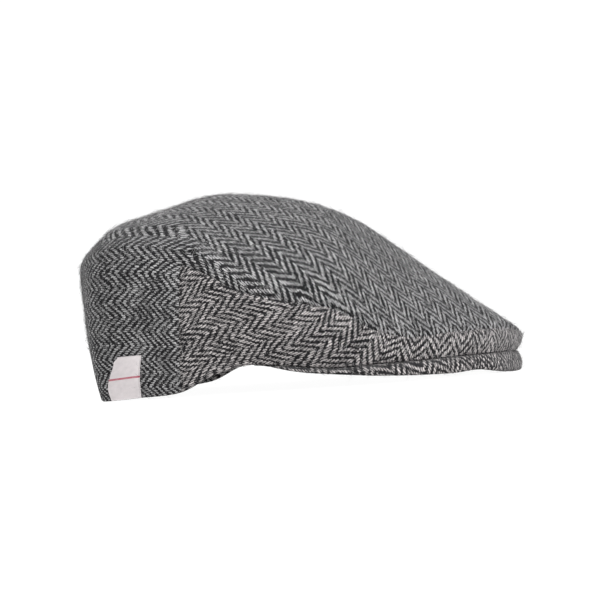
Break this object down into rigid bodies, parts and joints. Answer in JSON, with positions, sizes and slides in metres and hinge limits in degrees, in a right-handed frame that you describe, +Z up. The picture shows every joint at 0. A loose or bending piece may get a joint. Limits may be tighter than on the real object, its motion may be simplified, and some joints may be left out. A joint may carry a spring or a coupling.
{
  "type": "flat cap",
  "caption": "Flat cap in grey herringbone tweed: a low crown drawn forward over a short rolled-rim peak, with sewn side panels, open underneath for the head.",
  "frame": {"origin": "on the floor under the middle of the cap's box, with the cap at rest on its back hem and the tip of its peak", "axes": "+X out over the peak, +Y to the wearer's left, +Z up"},
  "size_m": [0.272, 0.1966, 0.1224],
  "materials": {
    "tweed": "herringbone wool tweed, matt and slightly fuzzy",
    "label_cloth": "woven white ribbon, matt"
  },
  "bodies": {
    "root": {"crown_top": "tweed", "side_panel_right": "tweed", "side_panel_left": "tweed", "peak": "tweed", "label": "label_cloth"}
  },
  "joints": []
}
